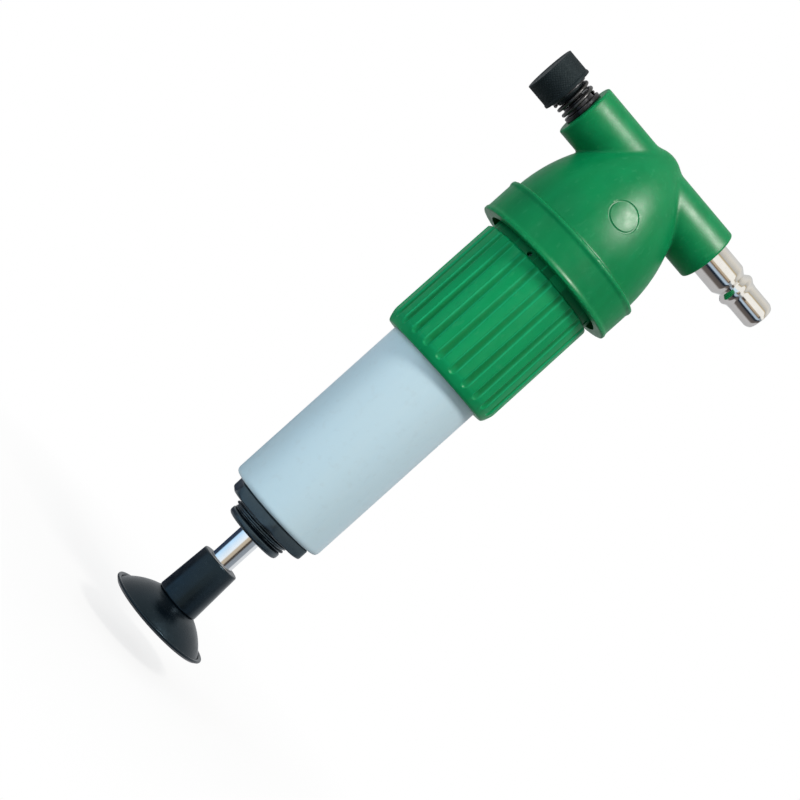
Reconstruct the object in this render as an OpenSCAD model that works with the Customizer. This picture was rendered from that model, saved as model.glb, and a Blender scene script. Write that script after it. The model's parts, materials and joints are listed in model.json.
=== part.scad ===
// Air-operated valve lapping tool: a suction cup on a spring-returned piston
// rod, driven by compressed air through a T-shaped head with a needle throttle.
// Frame: barrel axis on Z, origin at the centre of the cup's rim, head up,
// air plug towards +X, throttle knob towards -X.

/* [Suction cup] */
// Diameter over the turned-up lip
cup_d = 41.2; // [38:0.2:46]
// Radius of the bell's outer surface
bell_r = 24.1; // [23.5:0.1:25]
// Stem diameter where it leaves the bell
stem_d = 16.6; // [15:0.2:18]
// Stem diameter at its top end
stem_top_d = 15.2; // [14:0.2:16]
// Height of the stem's top above the rim
stem_top = 29.6; // [28:0.2:34]

/* [Piston rod] */
// Rod diameter
rod_d = 9; // [8:0.5:9.5]
// Length of rod that shows between stem and gland at rest
rod_show = 13.7; // [12.5:0.1:16]
// Working stroke of the piston
stroke = 12; // [8:0.5:12]

/* [Barrel] */
// Outside diameter of the cylinder tube
tube_d = 40; // [38:0.5:42]
// Wall thickness of the cylinder tube
tube_wall = 3; // [2.5:0.1:3.5]
// Length of tube that shows below the grip sleeve
tube_show = 72.4; // [60:0.2:90]
// Diameter of the threaded gland below the hexagon
gland_d = 23.2; // [22:0.2:24]
// Length of gland that shows
gland_show = 6.3; // [5:0.1:8]
// Size of the hexagon over its corners
hex_d = 36.8; // [35:0.2:38]
// Height of the hexagon
hex_h = 5; // [4:0.2:7]

/* [Grip sleeve] */
// Diameter of the grip sleeve
sleeve_d = 49.5; // [48:0.1:52]
// Length of the ribbed part
sleeve_h = 46.9; // [40:0.1:55]
// Number of flutes round the sleeve
flutes = 24; // [16:1:28]
// Open gap between the sleeve and the collar, where the air leaves
exhaust_gap = 2.6; // [2:0.1:3]
// Number of exhaust ports round the tube
ports = 4; // [2:1:8]

/* [Head] */
// Diameter of the collar
collar_d = 60; // [56:0.5:64]
// Height of the collar
collar_h = 13.5; // [12:0.5:18]
// Radius of the dome at its foot
dome_r = 28; // [26:0.2:29]
// Radius of the arc that the dome's side follows
dome_arc = 57.9; // [50:0.5:65]
// Height of the blunt top above the collar
dome_h = 46.3; // [45:0.1:47]
// Diameter of the cross tube
arm_d = 22; // [20:0.5:24]
// Height of the cross tube's axis above the collar
arm_rise = 33.4; // [31:0.2:34]
// Reach of the arm that holds the air plug
plug_arm = 33.6; // [32:0.2:38]
// Reach of the arm that holds the throttle
knob_arm = 32.3; // [30:0.1:36]

/* [Throttle] */
// Knob diameter
knob_d = 18.9; // [16:0.1:22]
// Knob length
knob_h = 9.6; // [8:0.2:12]
// Gap between the knob and the arm when fully open
knob_gap = 8.6; // [8:0.1:12]
// Travel of the needle from open to shut
throttle_travel = 1.5; // [1:0.1:2]

/* [Air plug] */
// Diameter of the plug's shank
shank_d = 13.8; // [13.2:0.1:15]
// Diameter of the plug's nose
nose_d = 11.4; // [11:0.1:12]
// Length of the plug outside the arm
plug_show = 28.9; // [28.5:0.1:33]
// Bore of the plug
plug_bore_d = 7; // [5:0.2:7.4]

/* [Hidden] */
$fn = 64;
green = "#138a4b";
black = "#23272b";
rubber = "#1a1b1d";
steel = "#c9ccd0";
bronze = "#b58b4a";

// Radial gap of every sliding or turning pair
run = 0.05;
// Axial gap at a stop
stop = 0.05;

// Heights up the barrel, from the cup's rim
gland_z = stem_top + rod_show;
hex_z = gland_z + gland_show;
tube_z = hex_z + hex_h;
sleeve_z = tube_z + tube_show;
sleeve_top_z = sleeve_z + sleeve_h;
collar_z = sleeve_top_z + exhaust_gap;
collar_top_z = collar_z + collar_h;
dome_z = collar_top_z - 1.1;
arm_z = collar_top_z + arm_rise;
neck_top_z = collar_z + 12;
face_z = neck_top_z + 1.5;
port_z = collar_z - exhaust_gap / 2;

// Barrel radii
tube_r = tube_d / 2;
bore_r = tube_r - tube_wall;
neck_r = tube_r + 3;
rod_r = rod_d / 2;
gland_r = gland_d / 2;
seal_pocket_r = 8;
wiper_r = 7;
lip_gap = 0.03;
bush_r = 6.5;

// Front plug, guide tube and stop
gland_top_z = hex_z + 9.2;
wiper_top_z = gland_z + 2.6;
seal_top_z = gland_top_z + 4;
spigot_top_z = tube_z + 15.8;
spigot_rim = 0.4;
seat_h = 1.2;
bush_h = 12;

// Piston group
piston_h = 11;
piston_top_z = face_z - 2.6;
piston_z = piston_top_z - piston_h;
piston_r = bore_r - run;
band_r = piston_r - 1.55;
band_z = piston_z + 1.5;
band_h = 4;
washer_h = 1.2;
shoulder_z = piston_z - washer_h;
journal_r = 3.5;
swivel_r = 5;
swivel_flange_r = 7;
thread_r = 3;
rod_z = 12.5;
nut_h = 5;
bumper_h = 5.2;
top_bumper_in = 13;
top_bumper_out = 16;
bumper_top_z = shoulder_z - stroke - 2 * stop;
guide_top_z = bumper_top_z - bumper_h;
cup_bead_r = rod_r + 1.1;
cup_bead_z = rod_z + 2.5;
cup_bead_h = 2;

// Throttle: names with _d or _end are distances from the barrel axis towards -X
flange_d = knob_arm + 1.7;
boss_end = flange_d + 3;
knob_face = knob_arm + knob_gap;
knob_end = knob_face + knob_h;
screw_end = knob_end - 2.5;
ring_h = 0.8;
hub_start = boss_end + throttle_travel + 0.1;
stem_r = 3;
shoulder_d = 24;
shoulder_r = 4;
bush_thread_r = 6;
flange_r = 7.2;
boss_r = 5.4;
bush_inner = 15.6;
seat_outer = 8;
seat_inner = 3;
tip_d = 8;
valve_seat_r = 5;
orifice_r = 1.5;

// Air way through the plug's arm
plug_thread_r = 6.5;
airway_r = 3.5;

// ---- helpers ----

// Outline of a solid of revolution whose outer corners are rounded
module soft_block(r0, r1, z0, z1, edge) {
    translate([r0, z0])
        square([r1 - r0 - edge, z1 - z0]);
    translate([r0, z0 + edge])
        square([r1 - r0, z1 - z0 - 2 * edge]);
    for (z = [z0 + edge, z1 - edge])
        translate([r1 - edge, z])
            circle(r = edge);
}

// Straight-sided ring on the barrel axis
module ring(r0, r1, z0, z1) {
    difference() {
        translate([0, 0, z0])
            cylinder(r = r1, h = z1 - z0);
        translate([0, 0, z0 - 1])
            cylinder(r = r0, h = z1 - z0 + 2);
    }
}

// Round section ring on the barrel axis
module o_ring(mean_r, wire_r, z) {
    rotate_extrude()
        translate([mean_r, z])
            circle(r = wire_r);
}

// Turns +Z into +X along the cross tube
module along_plug_arm() {
    translate([0, 0, arm_z])
        rotate([0, 90, 0])
            children();
}

// Turns +Z into -X along the cross tube
module along_knob_arm() {
    translate([0, 0, arm_z])
        rotate([0, -90, 0])
            children();
}

// Cylinder of radius r between two heights
module bar(r, z0, z1) {
    translate([0, 0, z0])
        cylinder(r = r, h = z1 - z0);
}

// Round wire wound from z0 to z1, closed with flat caps
wire_sides = 8;
coil_steps = 16;
function coil_ring(mean_r, wire_r, a, z) = [
    for (k = [0 : wire_sides - 1])
        let (b = k * 360 / wire_sides, r = mean_r + wire_r * cos(b))
            [r * cos(a), r * sin(a), z + wire_r * sin(b)]
];
function wall_faces(rings) = [
    for (i = [0 : rings - 2], k = [0 : wire_sides - 1])
        let (
            p = i * wire_sides + k,
            q = i * wire_sides + (k + 1) % wire_sides
        )
            [p, q, q + wire_sides, p + wire_sides]
];
module coil(mean_r, wire_r, z0, z1, turns) {
    steps = turns * coil_steps;
    rise = z1 - z0 - 2 * wire_r;
    points = [
        for (i = [0 : steps])
            each coil_ring(mean_r, wire_r, i * 360 / coil_steps, z0 + wire_r + rise * i / steps)
    ];
    first_cap = [for (k = [wire_sides - 1 : -1 : 0]) k];
    last_cap = [for (k = [0 : wire_sides - 1]) steps * wire_sides + k];
    polyhedron(
        points = points,
        faces = concat([first_cap], wall_faces(steps + 1), [last_cap]),
        convexity = 10
    );
}

// ---- cup and rod ----

// Half outline of the cup, with its spherical bell, turned-up lip and stem
module cup_outline() {
    bell_centre = -13.5;
    stem_foot = 8;
    lip_r = cup_d / 2;
    intersection() {
        translate([0, bell_centre])
            circle(r = bell_r);
        translate([0, 0.9])
            square([lip_r, bell_r]);
    }
    polygon([[17, 0], [19.3, 0], [lip_r, 1.1], [lip_r, 1.9], [18.6, 1.7], [17, 2.5]]);
    polygon([[0, stem_foot], [stem_d / 2, stem_foot], [stem_top_d / 2, stem_top], [0, stem_top]]);
}

module suction_cup() {
    hollow_centre = -16.5;
    color(rubber)
        rotate_extrude()
            difference() {
                cup_outline();
                translate([0, hollow_centre])
                    circle(r = 25);
                translate([-1, rod_z])
                    square([rod_r + 1, stem_top]);
                translate([-1, cup_bead_z])
                    square([cup_bead_r + 1, cup_bead_h]);
            }
}

// Chromed rod: bead for the cup, journal for the piston, threaded end
module piston_rod() {
    journal_top = piston_top_z + stop;
    color(steel)
        union() {
            bar(rod_r, rod_z, shoulder_z);
            bar(cup_bead_r, cup_bead_z, cup_bead_z + cup_bead_h);
            bar(journal_r, shoulder_z, journal_top);
            bar(thread_r, journal_top, journal_top + washer_h + nut_h + 1.2);
        }
}

module thrust_washer() {
    color(steel)
        ring(journal_r, swivel_flange_r, shoulder_z, piston_z);
}

module rod_washer() {
    color(steel)
        ring(thread_r, 6.2, piston_top_z + stop, piston_top_z + stop + washer_h);
}

module rod_nut() {
    z = piston_top_z + stop + washer_h;
    color(steel)
        difference() {
            translate([0, 0, z])
                cylinder(r = 5.77, h = nut_h, $fn = 6);
            bar(thread_r, z - 1, z + nut_h + 1);
        }
}

// ---- piston ----

module piston() {
    color("#3b3f45")
        difference() {
            bar(piston_r, piston_z, piston_top_z);
            bar(swivel_r, piston_z - 1, piston_top_z + 1);
            bar(swivel_flange_r, piston_z - 1, piston_z + 1);
            ring(band_r, piston_r + 1, band_z, band_z + band_h);
            ring(piston_r - 3, piston_r + 1, piston_z + 6.5, piston_z + 9.5);
        }
}

module piston_seal() {
    color(rubber)
        o_ring(piston_r - 1.5, 1.5, piston_z + 8);
}

module piston_wear_ring() {
    color("#e8e4d8")
        ring(band_r, piston_r + 0.02, band_z + stop, band_z + band_h - stop);
}

module piston_bush() {
    color(bronze)
        difference() {
            union() {
                bar(swivel_flange_r, piston_z, piston_z + 1);
                bar(swivel_r, piston_z, piston_top_z);
            }
            bar(journal_r + run, piston_z - 1, piston_top_z + 1);
        }
}

// ---- barrel inside ----

module return_spring() {
    color(steel)
        coil(12.2, 1, spigot_top_z + seat_h, piston_z, 11);
}

module spring_seat() {
    color(steel)
        ring(seal_pocket_r, 15.5, spigot_top_z, spigot_top_z + seat_h);
}

module stop_bumper() {
    color(rubber)
        ring(rod_r + 0.9, seal_pocket_r, guide_top_z, bumper_top_z);
}

module guide_tube() {
    color("#d9d9d2")
        ring(bush_r, seal_pocket_r, seal_top_z, guide_top_z);
}

module lower_bush() {
    color(bronze)
        ring(rod_r + run, bush_r, seal_top_z, seal_top_z + bush_h);
}

module upper_bush() {
    color(bronze)
        ring(rod_r + run, bush_r, guide_top_z - bush_h, guide_top_z);
}

module rod_seal() {
    color(rubber)
        ring(rod_r + lip_gap, seal_pocket_r, gland_top_z, seal_top_z);
}

module rod_wiper() {
    color(rubber)
        ring(rod_r + lip_gap, wiper_r, gland_z + 0.2, wiper_top_z);
}

// ---- barrel outside ----

// Threaded gland: two thread crests show above a rounded front edge
module gland() {
    crest_h = 0.9;
    root_r = gland_r - 0.9;
    color(black)
        difference() {
            union() {
                rotate_extrude()
                    soft_block(0, gland_r - 0.5, gland_z, gland_z + 1.8, 0.7);
                bar(root_r, gland_z + 0.5, gland_top_z);
                for (z = [gland_z + 2.4 : 2 : hex_z - crest_h])
                    bar(gland_r, z, z + crest_h);
                bar(gland_r, hex_z, gland_top_z);
            }
            bar(rod_r + 0.15, gland_z - 1, gland_top_z + 1);
            bar(wiper_r, gland_z - 1, wiper_top_z);
        }
}

module hex_plug() {
    color(black)
        difference() {
            union() {
                translate([0, 0, hex_z])
                    rotate([0, 0, 30])
                        cylinder(d = hex_d, h = hex_h, $fn = 6);
                bar(bore_r, tube_z - spigot_rim, spigot_top_z);
            }
            bar(gland_r, hex_z - 1, gland_top_z);
            bar(seal_pocket_r, gland_top_z - 1, spigot_top_z + 1);
            ring(bore_r - 2.5, bore_r + 1, tube_z + 7, tube_z + 10);
        }
}

module plug_o_ring() {
    color(rubber)
        o_ring(bore_r - 1.25, 1.25, tube_z + 8.5);
}

// Radial holes for the exhaust, one of them towards the front left
module exhaust_ports(r0, r1) {
    for (i = [0 : ports - 1])
        rotate([0, 0, -118.5 + i * 360 / ports])
            translate([r0, 0, port_z])
                rotate([0, 90, 0])
                    cylinder(r = 0.9, h = r1 - r0);
}

module cylinder_tube() {
    color("#b8cfdf")
        difference() {
            rotate_extrude()
                soft_block(bore_r, tube_r, tube_z, neck_top_z, 1.4);
            exhaust_ports(bore_r - 1, tube_r + 1);
        }
}

// Half outline of the sleeve: chamfered foot, ribbed body, threaded neck
module sleeve_outline() {
    r = sleeve_d / 2;
    polygon([
        [tube_r, sleeve_z], [r - 1.6, sleeve_z], [r - 1, sleeve_z + 1],
        [r - 0.15, sleeve_z + 4], [r, sleeve_z + 5], [r - 0.25, sleeve_top_z - 0.6],
        [r - 0.8, sleeve_top_z], [neck_r, sleeve_top_z], [neck_r, neck_top_z],
        [tube_r, neck_top_z]
    ]);
}

// Cutter for one flute: it ends round above the foot and runs out at the top
module flute() {
    r = 2;
    end_z = sleeve_z + 3.5;
    translate([sleeve_d / 2 + 1.2, 0, 0]) {
        translate([0, 0, end_z])
            sphere(r);
        bar(r, end_z, sleeve_top_z + 1);
    }
}

module grip_sleeve() {
    color(green)
        difference() {
            rotate_extrude()
                sleeve_outline();
            for (i = [0 : flutes - 1])
                rotate([0, 0, i * 360 / flutes])
                    flute();
            exhaust_ports(tube_r - 1, neck_r + 1);
        }
}

// ---- head ----

module head_gasket() {
    color(rubber)
        ring(bore_r, neck_r, neck_top_z, face_z);
}

module top_bumper() {
    color(rubber)
        ring(top_bumper_in, top_bumper_out, piston_top_z + stop, face_z + 1.5);
}

// Bulk of the moulding: collar, ogive dome and cross tube
module head_body() {
    edge = 1.2;
    rotate_extrude()
        soft_block(0, collar_d / 2, collar_z, collar_top_z, edge);
    rotate_extrude()
        intersection() {
            translate([dome_r - dome_arc, dome_z])
                circle(r = dome_arc, $fn = 256);
            translate([0, collar_top_z - 5])
                square([dome_r + 1, dome_h + 5]);
        }
    along_plug_arm()
        rotate_extrude()
            soft_block(0, arm_d / 2, -knob_arm, plug_arm, 0.6);
}

// Spaces under the dome: skirt recess, thread, bumper groove, nut recess
module head_socket() {
    bar(25.6, collar_z - 1, collar_z + 3);
    bar(neck_r, collar_z, face_z);
    ring(top_bumper_in, top_bumper_out, face_z - 1, face_z + 1.5);
    bar(7.5, face_z - 1, face_z + 7);
}

// Air way: plug thread, cross bore, seat, needle chamber, drop to the barrel
module head_airway() {
    along_plug_arm() {
        bar(plug_thread_r, plug_arm - 14, plug_arm + 1);
        bar(airway_r, -seat_inner, plug_arm - 13);
    }
    along_knob_arm() {
        bar(valve_seat_r, seat_inner, bush_inner + 1);
        bar(bush_thread_r, bush_inner, knob_arm + 1);
    }
    translate([-10.5, 0, 0])
        bar(2, face_z - 1, arm_z);
}

// Plain moulded ring on the front of the dome
module front_ring() {
    ring_z = collar_top_z + 16.2;
    tilt = asin((ring_z - dome_z) / dome_arc);
    dome_y = dome_arc - dome_r - dome_arc * cos(tilt);
    translate([0, dome_y, ring_z])
        rotate([90 - tilt, 0, 0])
            ring(5.2, 5.9, -0.5, 3);
}

module head() {
    color(green)
        difference() {
            head_body();
            head_socket();
            head_airway();
            front_ring();
        }
}

// ---- air plug ----

// Half outline of the plug: thread, shank, ball groove, locking bead and nose
module plug_outline() {
    bore = plug_bore_d / 2;
    shank = shank_d / 2;
    nose = nose_d / 2;
    groove = nose - 0.25;
    bead = nose + 1.15;
    foot = plug_arm;
    start = foot - 13.5;
    end = foot + plug_show;
    polygon([
        [bore, start], [plug_thread_r - 0.5, start], [plug_thread_r, start + 0.5],
        [plug_thread_r, foot], [shank, foot], [shank, foot + 10.8], [groove, foot + 13.2],
        [groove, foot + 13.5], [bead, foot + 15.1], [bead, foot + 16.1],
        [nose + 0.25, foot + 17.6], [nose, foot + 19.4], [nose, end - 1.5],
        [nose - 0.8, end], [bore, end]
    ]);
}

module air_plug() {
    color(steel)
        along_plug_arm()
            difference() {
                rotate_extrude()
                    plug_outline();
                ring(4.8, 8, plug_arm - 11.6, plug_arm - 9.4);
            }
}

module air_plug_o_ring() {
    color(rubber)
        along_plug_arm()
            o_ring(5.65, 0.85, plug_arm - 10.5);
}

// ---- throttle ----

module valve_seat() {
    color(bronze)
        along_knob_arm()
            ring(orifice_r, valve_seat_r, seat_inner, seat_outer);
}

module throttle_bush() {
    color(black)
        along_knob_arm()
            difference() {
                union() {
                    bar(bush_thread_r, bush_inner, knob_arm);
                    bar(flange_r, knob_arm, flange_d);
                    bar(boss_r, flange_d, boss_end);
                }
                bar(stem_r + run, bush_inner - 1, boss_end + 1);
                bar(shoulder_r + run, bush_inner - 1, shoulder_d);
            }
}

// Screw with a sealing collar and a 60 degree needle point
module throttle_screw() {
    needle_r = 2.2;
    tip_r = 0.6;
    cone_h = (needle_r - tip_r) / tan(30);
    color("#4a4d52")
        along_knob_arm()
            difference() {
                union() {
                    bar(stem_r, shoulder_d - 1, screw_end);
                    bar(shoulder_r, 19, shoulder_d - stop);
                    bar(needle_r, tip_d + cone_h - 0.2, 20);
                    translate([0, 0, tip_d])
                        cylinder(r1 = tip_r, r2 = needle_r, h = cone_h);
                }
                ring(1.8, 6, 20.3, 22.7);
            }
}

module throttle_o_ring() {
    color(rubber)
        along_knob_arm()
            o_ring(2.91, 1.11, 21.5);
}

module throttle_washer() {
    color(steel)
        along_knob_arm()
            ring(boss_r + run, flange_r - 0.1, knob_face - ring_h, knob_face);
}

module throttle_spring() {
    color(black)
        along_knob_arm()
            coil(6.5, 0.6, flange_d, knob_face - ring_h, 2.5);
}

module throttle_knob() {
    color(black)
        along_knob_arm()
            difference() {
                union() {
                    rotate_extrude()
                        soft_block(0, knob_d / 2, knob_face, knob_end, 0.5);
                    bar(boss_r, hub_start, knob_face + 1);
                }
                bar(stem_r, hub_start - 1, screw_end);
            }
}

suction_cup();
piston_rod();
thrust_washer();
rod_washer();
rod_nut();
piston();
piston_seal();
piston_wear_ring();
piston_bush();
return_spring();
spring_seat();
stop_bumper();
guide_tube();
lower_bush();
upper_bush();
rod_seal();
rod_wiper();
gland();
hex_plug();
plug_o_ring();
cylinder_tube();
grip_sleeve();
head_gasket();
top_bumper();
head();
air_plug();
air_plug_o_ring();
valve_seat();
throttle_bush();
throttle_screw();
throttle_o_ring();
throttle_washer();
throttle_spring();
throttle_knob();
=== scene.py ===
import json
import math

import bmesh
import bpy
import numpy as np
from mathutils import Matrix, Vector


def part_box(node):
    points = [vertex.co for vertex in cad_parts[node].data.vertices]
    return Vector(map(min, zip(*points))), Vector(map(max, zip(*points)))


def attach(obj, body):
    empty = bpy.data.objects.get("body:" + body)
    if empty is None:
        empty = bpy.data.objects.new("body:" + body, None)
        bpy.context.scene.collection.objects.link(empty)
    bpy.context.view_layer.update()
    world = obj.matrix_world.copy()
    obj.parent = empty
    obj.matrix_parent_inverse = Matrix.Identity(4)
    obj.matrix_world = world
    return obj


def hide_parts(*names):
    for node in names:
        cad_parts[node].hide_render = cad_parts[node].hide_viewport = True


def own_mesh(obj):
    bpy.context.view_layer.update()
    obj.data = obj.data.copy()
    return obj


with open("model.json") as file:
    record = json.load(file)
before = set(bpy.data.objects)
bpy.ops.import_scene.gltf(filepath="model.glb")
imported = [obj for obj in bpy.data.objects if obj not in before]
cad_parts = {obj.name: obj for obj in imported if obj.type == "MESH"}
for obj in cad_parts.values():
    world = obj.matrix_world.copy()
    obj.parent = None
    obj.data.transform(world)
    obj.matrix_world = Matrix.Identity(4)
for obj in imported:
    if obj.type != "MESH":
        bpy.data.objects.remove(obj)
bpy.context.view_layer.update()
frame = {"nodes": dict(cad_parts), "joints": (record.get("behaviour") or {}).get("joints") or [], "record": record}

# The looks of an air-operated valve lapping tool. Shapes are worked out in
# millimetres in the CAD frame and stored in metres: barrel axis on Z, the cup's rim
# at z = 0 while the piston is up, air plug towards +X, throttle knob towards -X.

MM = 0.001


def box_mm(node):
    """Lowest and highest corner of a CAD node, in millimetres."""
    low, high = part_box(node)
    return [v / MM for v in low], [v / MM for v in high]


# ---- sizes that the CAD model sets ----

HEAD_LOW, HEAD_HIGH = box_mm("head")
SLEEVE_LOW, SLEEVE_HIGH = box_mm("grip_sleeve")
TUBE_LOW, TUBE_HIGH = box_mm("cylinder_tube")
HEX_HIGH = box_mm("hex_plug")[1]
GLAND_LOW, GLAND_HIGH = box_mm("gland")
CUP_LOW, CUP_HIGH = box_mm("suction_cup")
ROD_LOW, ROD_HIGH = box_mm("piston_rod")
PLUG_LOW, PLUG_HIGH = box_mm("air_plug")
BUSH_LOW, BUSH_HIGH = box_mm("throttle_bush")
WASHER_LOW, WASHER_HIGH = box_mm("throttle_washer")
KNOB_LOW, KNOB_HIGH = box_mm("throttle_knob")
COIL_LOW, COIL_HIGH = box_mm("throttle_spring")
SPRING_LOW, SPRING_HIGH = box_mm("return_spring")
GASKET_LOW, GASKET_HIGH = box_mm("head_gasket")
SCREW_LOW = box_mm("throttle_screw")[0]
SEAT_HIGH = box_mm("valve_seat")[1]
NUT_LOW = box_mm("rod_nut")[0]
THRUST_LOW, THRUST_HIGH = box_mm("thrust_washer")

ARM_Z = (PLUG_LOW[2] + PLUG_HIGH[2]) / 2
PLUG_ARM = HEAD_HIGH[0]
KNOB_ARM = -HEAD_LOW[0]
COLLAR_R = HEAD_HIGH[1]
COLLAR_Z = HEAD_LOW[2]
TUBE_R = TUBE_HIGH[0]
SLEEVE_R = SLEEVE_HIGH[0]

# ---- sizes that the CAD boxes don't tell ----

COLLAR_H = 13.5       # height of the head's collar
DOME_R = 28.0         # dome at its widest
DOME_ARC = 57.9       # radius of the dome's ogive, whose centre is at DOME_Z
DOME_SINK = 4.0       # how far the dome's foot reaches into the collar
ARM_R = 11.0          # cross tube
TUBE_WALL = 3.0
NECK_R = 23.0         # the sleeve's neck, in the gap below the collar
SLEEVE_GAP = 2.6
SLEEVE_TAPER = 0.25   # how much narrower the sleeve is at its top
FLUTES = 24
PORTS = 4
PORT_R = 0.9
FIRST_PORT = -118.5   # degrees round Z from +X
ROD_R = 4.5
ROD_BEAD = 1.1        # how far the rod's bead stands out in the cup
HEX_H = 5.0
GLAND_SHOW = 6.3      # height of the gland below the hexagon
HAIR = 0.03           # clearance between faces that turn on each other

# ---- places that follow from them ----

BORE_R = TUBE_R - TUBE_WALL
COLLAR_TOP = COLLAR_Z + COLLAR_H
DOME_FOOT = COLLAR_TOP - DOME_SINK
DOME_Z = COLLAR_TOP - 1.1
SLEEVE_TOP = COLLAR_Z - SLEEVE_GAP
HEX_Z = GLAND_LOW[2] + GLAND_SHOW
TUBE_Z = HEX_Z + HEX_H
NECK_TOP = GASKET_LOW[2]
FACE_Z = GASKET_HIGH[2]
PORT_Z = COLLAR_Z - SLEEVE_GAP / 2
RING_Z = COLLAR_TOP + 16.2


# ---- helpers ----

def travel_mm(name):
    """How far a sliding joint goes, in millimetres."""
    return next(j["range_m"][1] for j in frame["joints"] if j["name"] == name) / MM


def show(name, data):
    """A new object in the scene."""
    obj = bpy.data.objects.new(name, data)
    bpy.context.scene.collection.objects.link(obj)
    return obj


def collect(name, objects):
    """A collection of the pieces that one light treats apart from the rest."""
    group = bpy.data.collections.new(name)
    for obj in objects:
        group.objects.link(obj)
    return group


def calculate(tree, kind, *values):
    """Output of a Math node; each value is a number or another node's output."""
    node = tree.nodes.new("ShaderNodeMath")
    node.operation = kind
    for slot, value in zip(node.inputs, values):
        if isinstance(value, (int, float)):
            slot.default_value = value
        else:
            tree.links.new(value, slot)
    return node.outputs[0]


# ---- camera, light and floor ----

def direction(azimuth, elevation):
    """Unit vector away from the tool. Azimuth 0 is in front, at -Y, and 90 is at +X."""
    a, e = math.radians(azimuth), math.radians(elevation)
    return Vector((math.sin(a) * math.cos(e), -math.cos(a) * math.cos(e), math.sin(e)))


def set_camera():
    """Level with the barrel's middle, and rolled so that the tool leans as in the photo."""
    azimuth, elevation, roll = -9.0, -0.4, math.radians(48.1)
    distance, height, aside = 0.600, 0.1116, -0.0004
    back = direction(azimuth, elevation)
    right = direction(azimuth + 90, 0.0)
    up = back.cross(right)
    data = bpy.data.cameras.new("camera")
    data.lens = 79.3
    data.sensor_width = 36.0
    data.clip_start = 0.01
    data.clip_end = 20.0
    camera = show("camera", data)
    rolled_right = right * math.cos(roll) + up * math.sin(roll)
    rolled_up = up * math.cos(roll) - right * math.sin(roll)
    turn = Matrix((rolled_right, rolled_up, back)).transposed().to_4x4()
    target = Vector((0.0, 0.0, height)) + right * aside
    camera.matrix_world = Matrix.Translation(target + back * distance) @ turn
    bpy.context.scene.camera = camera


def add_softbox(name, azimuth, elevation, size, power, colour):
    """An area light that faces the middle of the tool."""
    distance, middle = 1.3, Vector((0.0, 0.0, 0.15))
    away = direction(azimuth, elevation)
    data = bpy.data.lights.new(name, "AREA")
    data.shape = "RECTANGLE"
    data.size, data.size_y = size
    data.energy = power
    data.color = colour
    light = show(name, data)
    light.location = middle + away * distance
    light.rotation_euler = away.to_track_quat("Z", "Y").to_euler()
    return light


# What bright metal reflects, as (degrees, colour). ROUND_THE_TOOL is a level band
# that the upright rod mirrors: from the back by the left, the front and the right.
# OVER_THE_TOOL is the rest, which the level air plug mirrors: from the back by the
# floor, the front and the ceiling.
ROUND_THE_TOOL = [
    (-175, (0.03, 0.045, 0.08)), (-104, (0.03, 0.05, 0.09)),
    (-92, (0.62, 0.95, 1.25)), (-16, (1.05, 1.12, 1.16)),
    (-6, (0.66, 0.56, 0.42)), (16, (0.60, 0.50, 0.37)),
    (24, (0.07, 0.055, 0.045)), (36, (0.08, 0.065, 0.055)),
    (46, (0.30, 0.34, 0.38)), (86, (0.34, 0.38, 0.42)),
    (96, (0.85, 0.87, 0.88)), (170, (0.80, 0.82, 0.84))]
OVER_THE_TOOL = [
    (-178, (0.55, 0.56, 0.58)), (-92, (0.60, 0.60, 0.62)),
    (-80, (0.15, 0.13, 0.12)), (-56, (0.11, 0.10, 0.10)),
    (-48, (0.010, 0.018, 0.030)), (-40, (0.02, 0.03, 0.05)),
    (-34, (0.55, 0.72, 0.90)), (-24, (0.50, 0.62, 0.75)),
    (-18, (0.24, 0.16, 0.09)), (-12, (0.28, 0.19, 0.11)),
    (-5, (1.12, 1.11, 1.07)), (38, (1.12, 1.11, 1.07)),
    (46, (0.55, 0.42, 0.20)), (54, (0.58, 0.58, 0.56)),
    (88, (0.84, 0.81, 0.74)), (104, (0.84, 0.83, 0.80)),
    (176, (0.60, 0.62, 0.64))]
LEVEL_BAND = -0.12, 0.06, 0.13    # middle height, and how far off it the fade starts and ends
SOFT_LIGHT = 0.34, (0.96, 0.98, 1.0)    # strength and colour
KEY_SIDE = 22.0, 47.0    # azimuth and elevation of the main light


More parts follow.
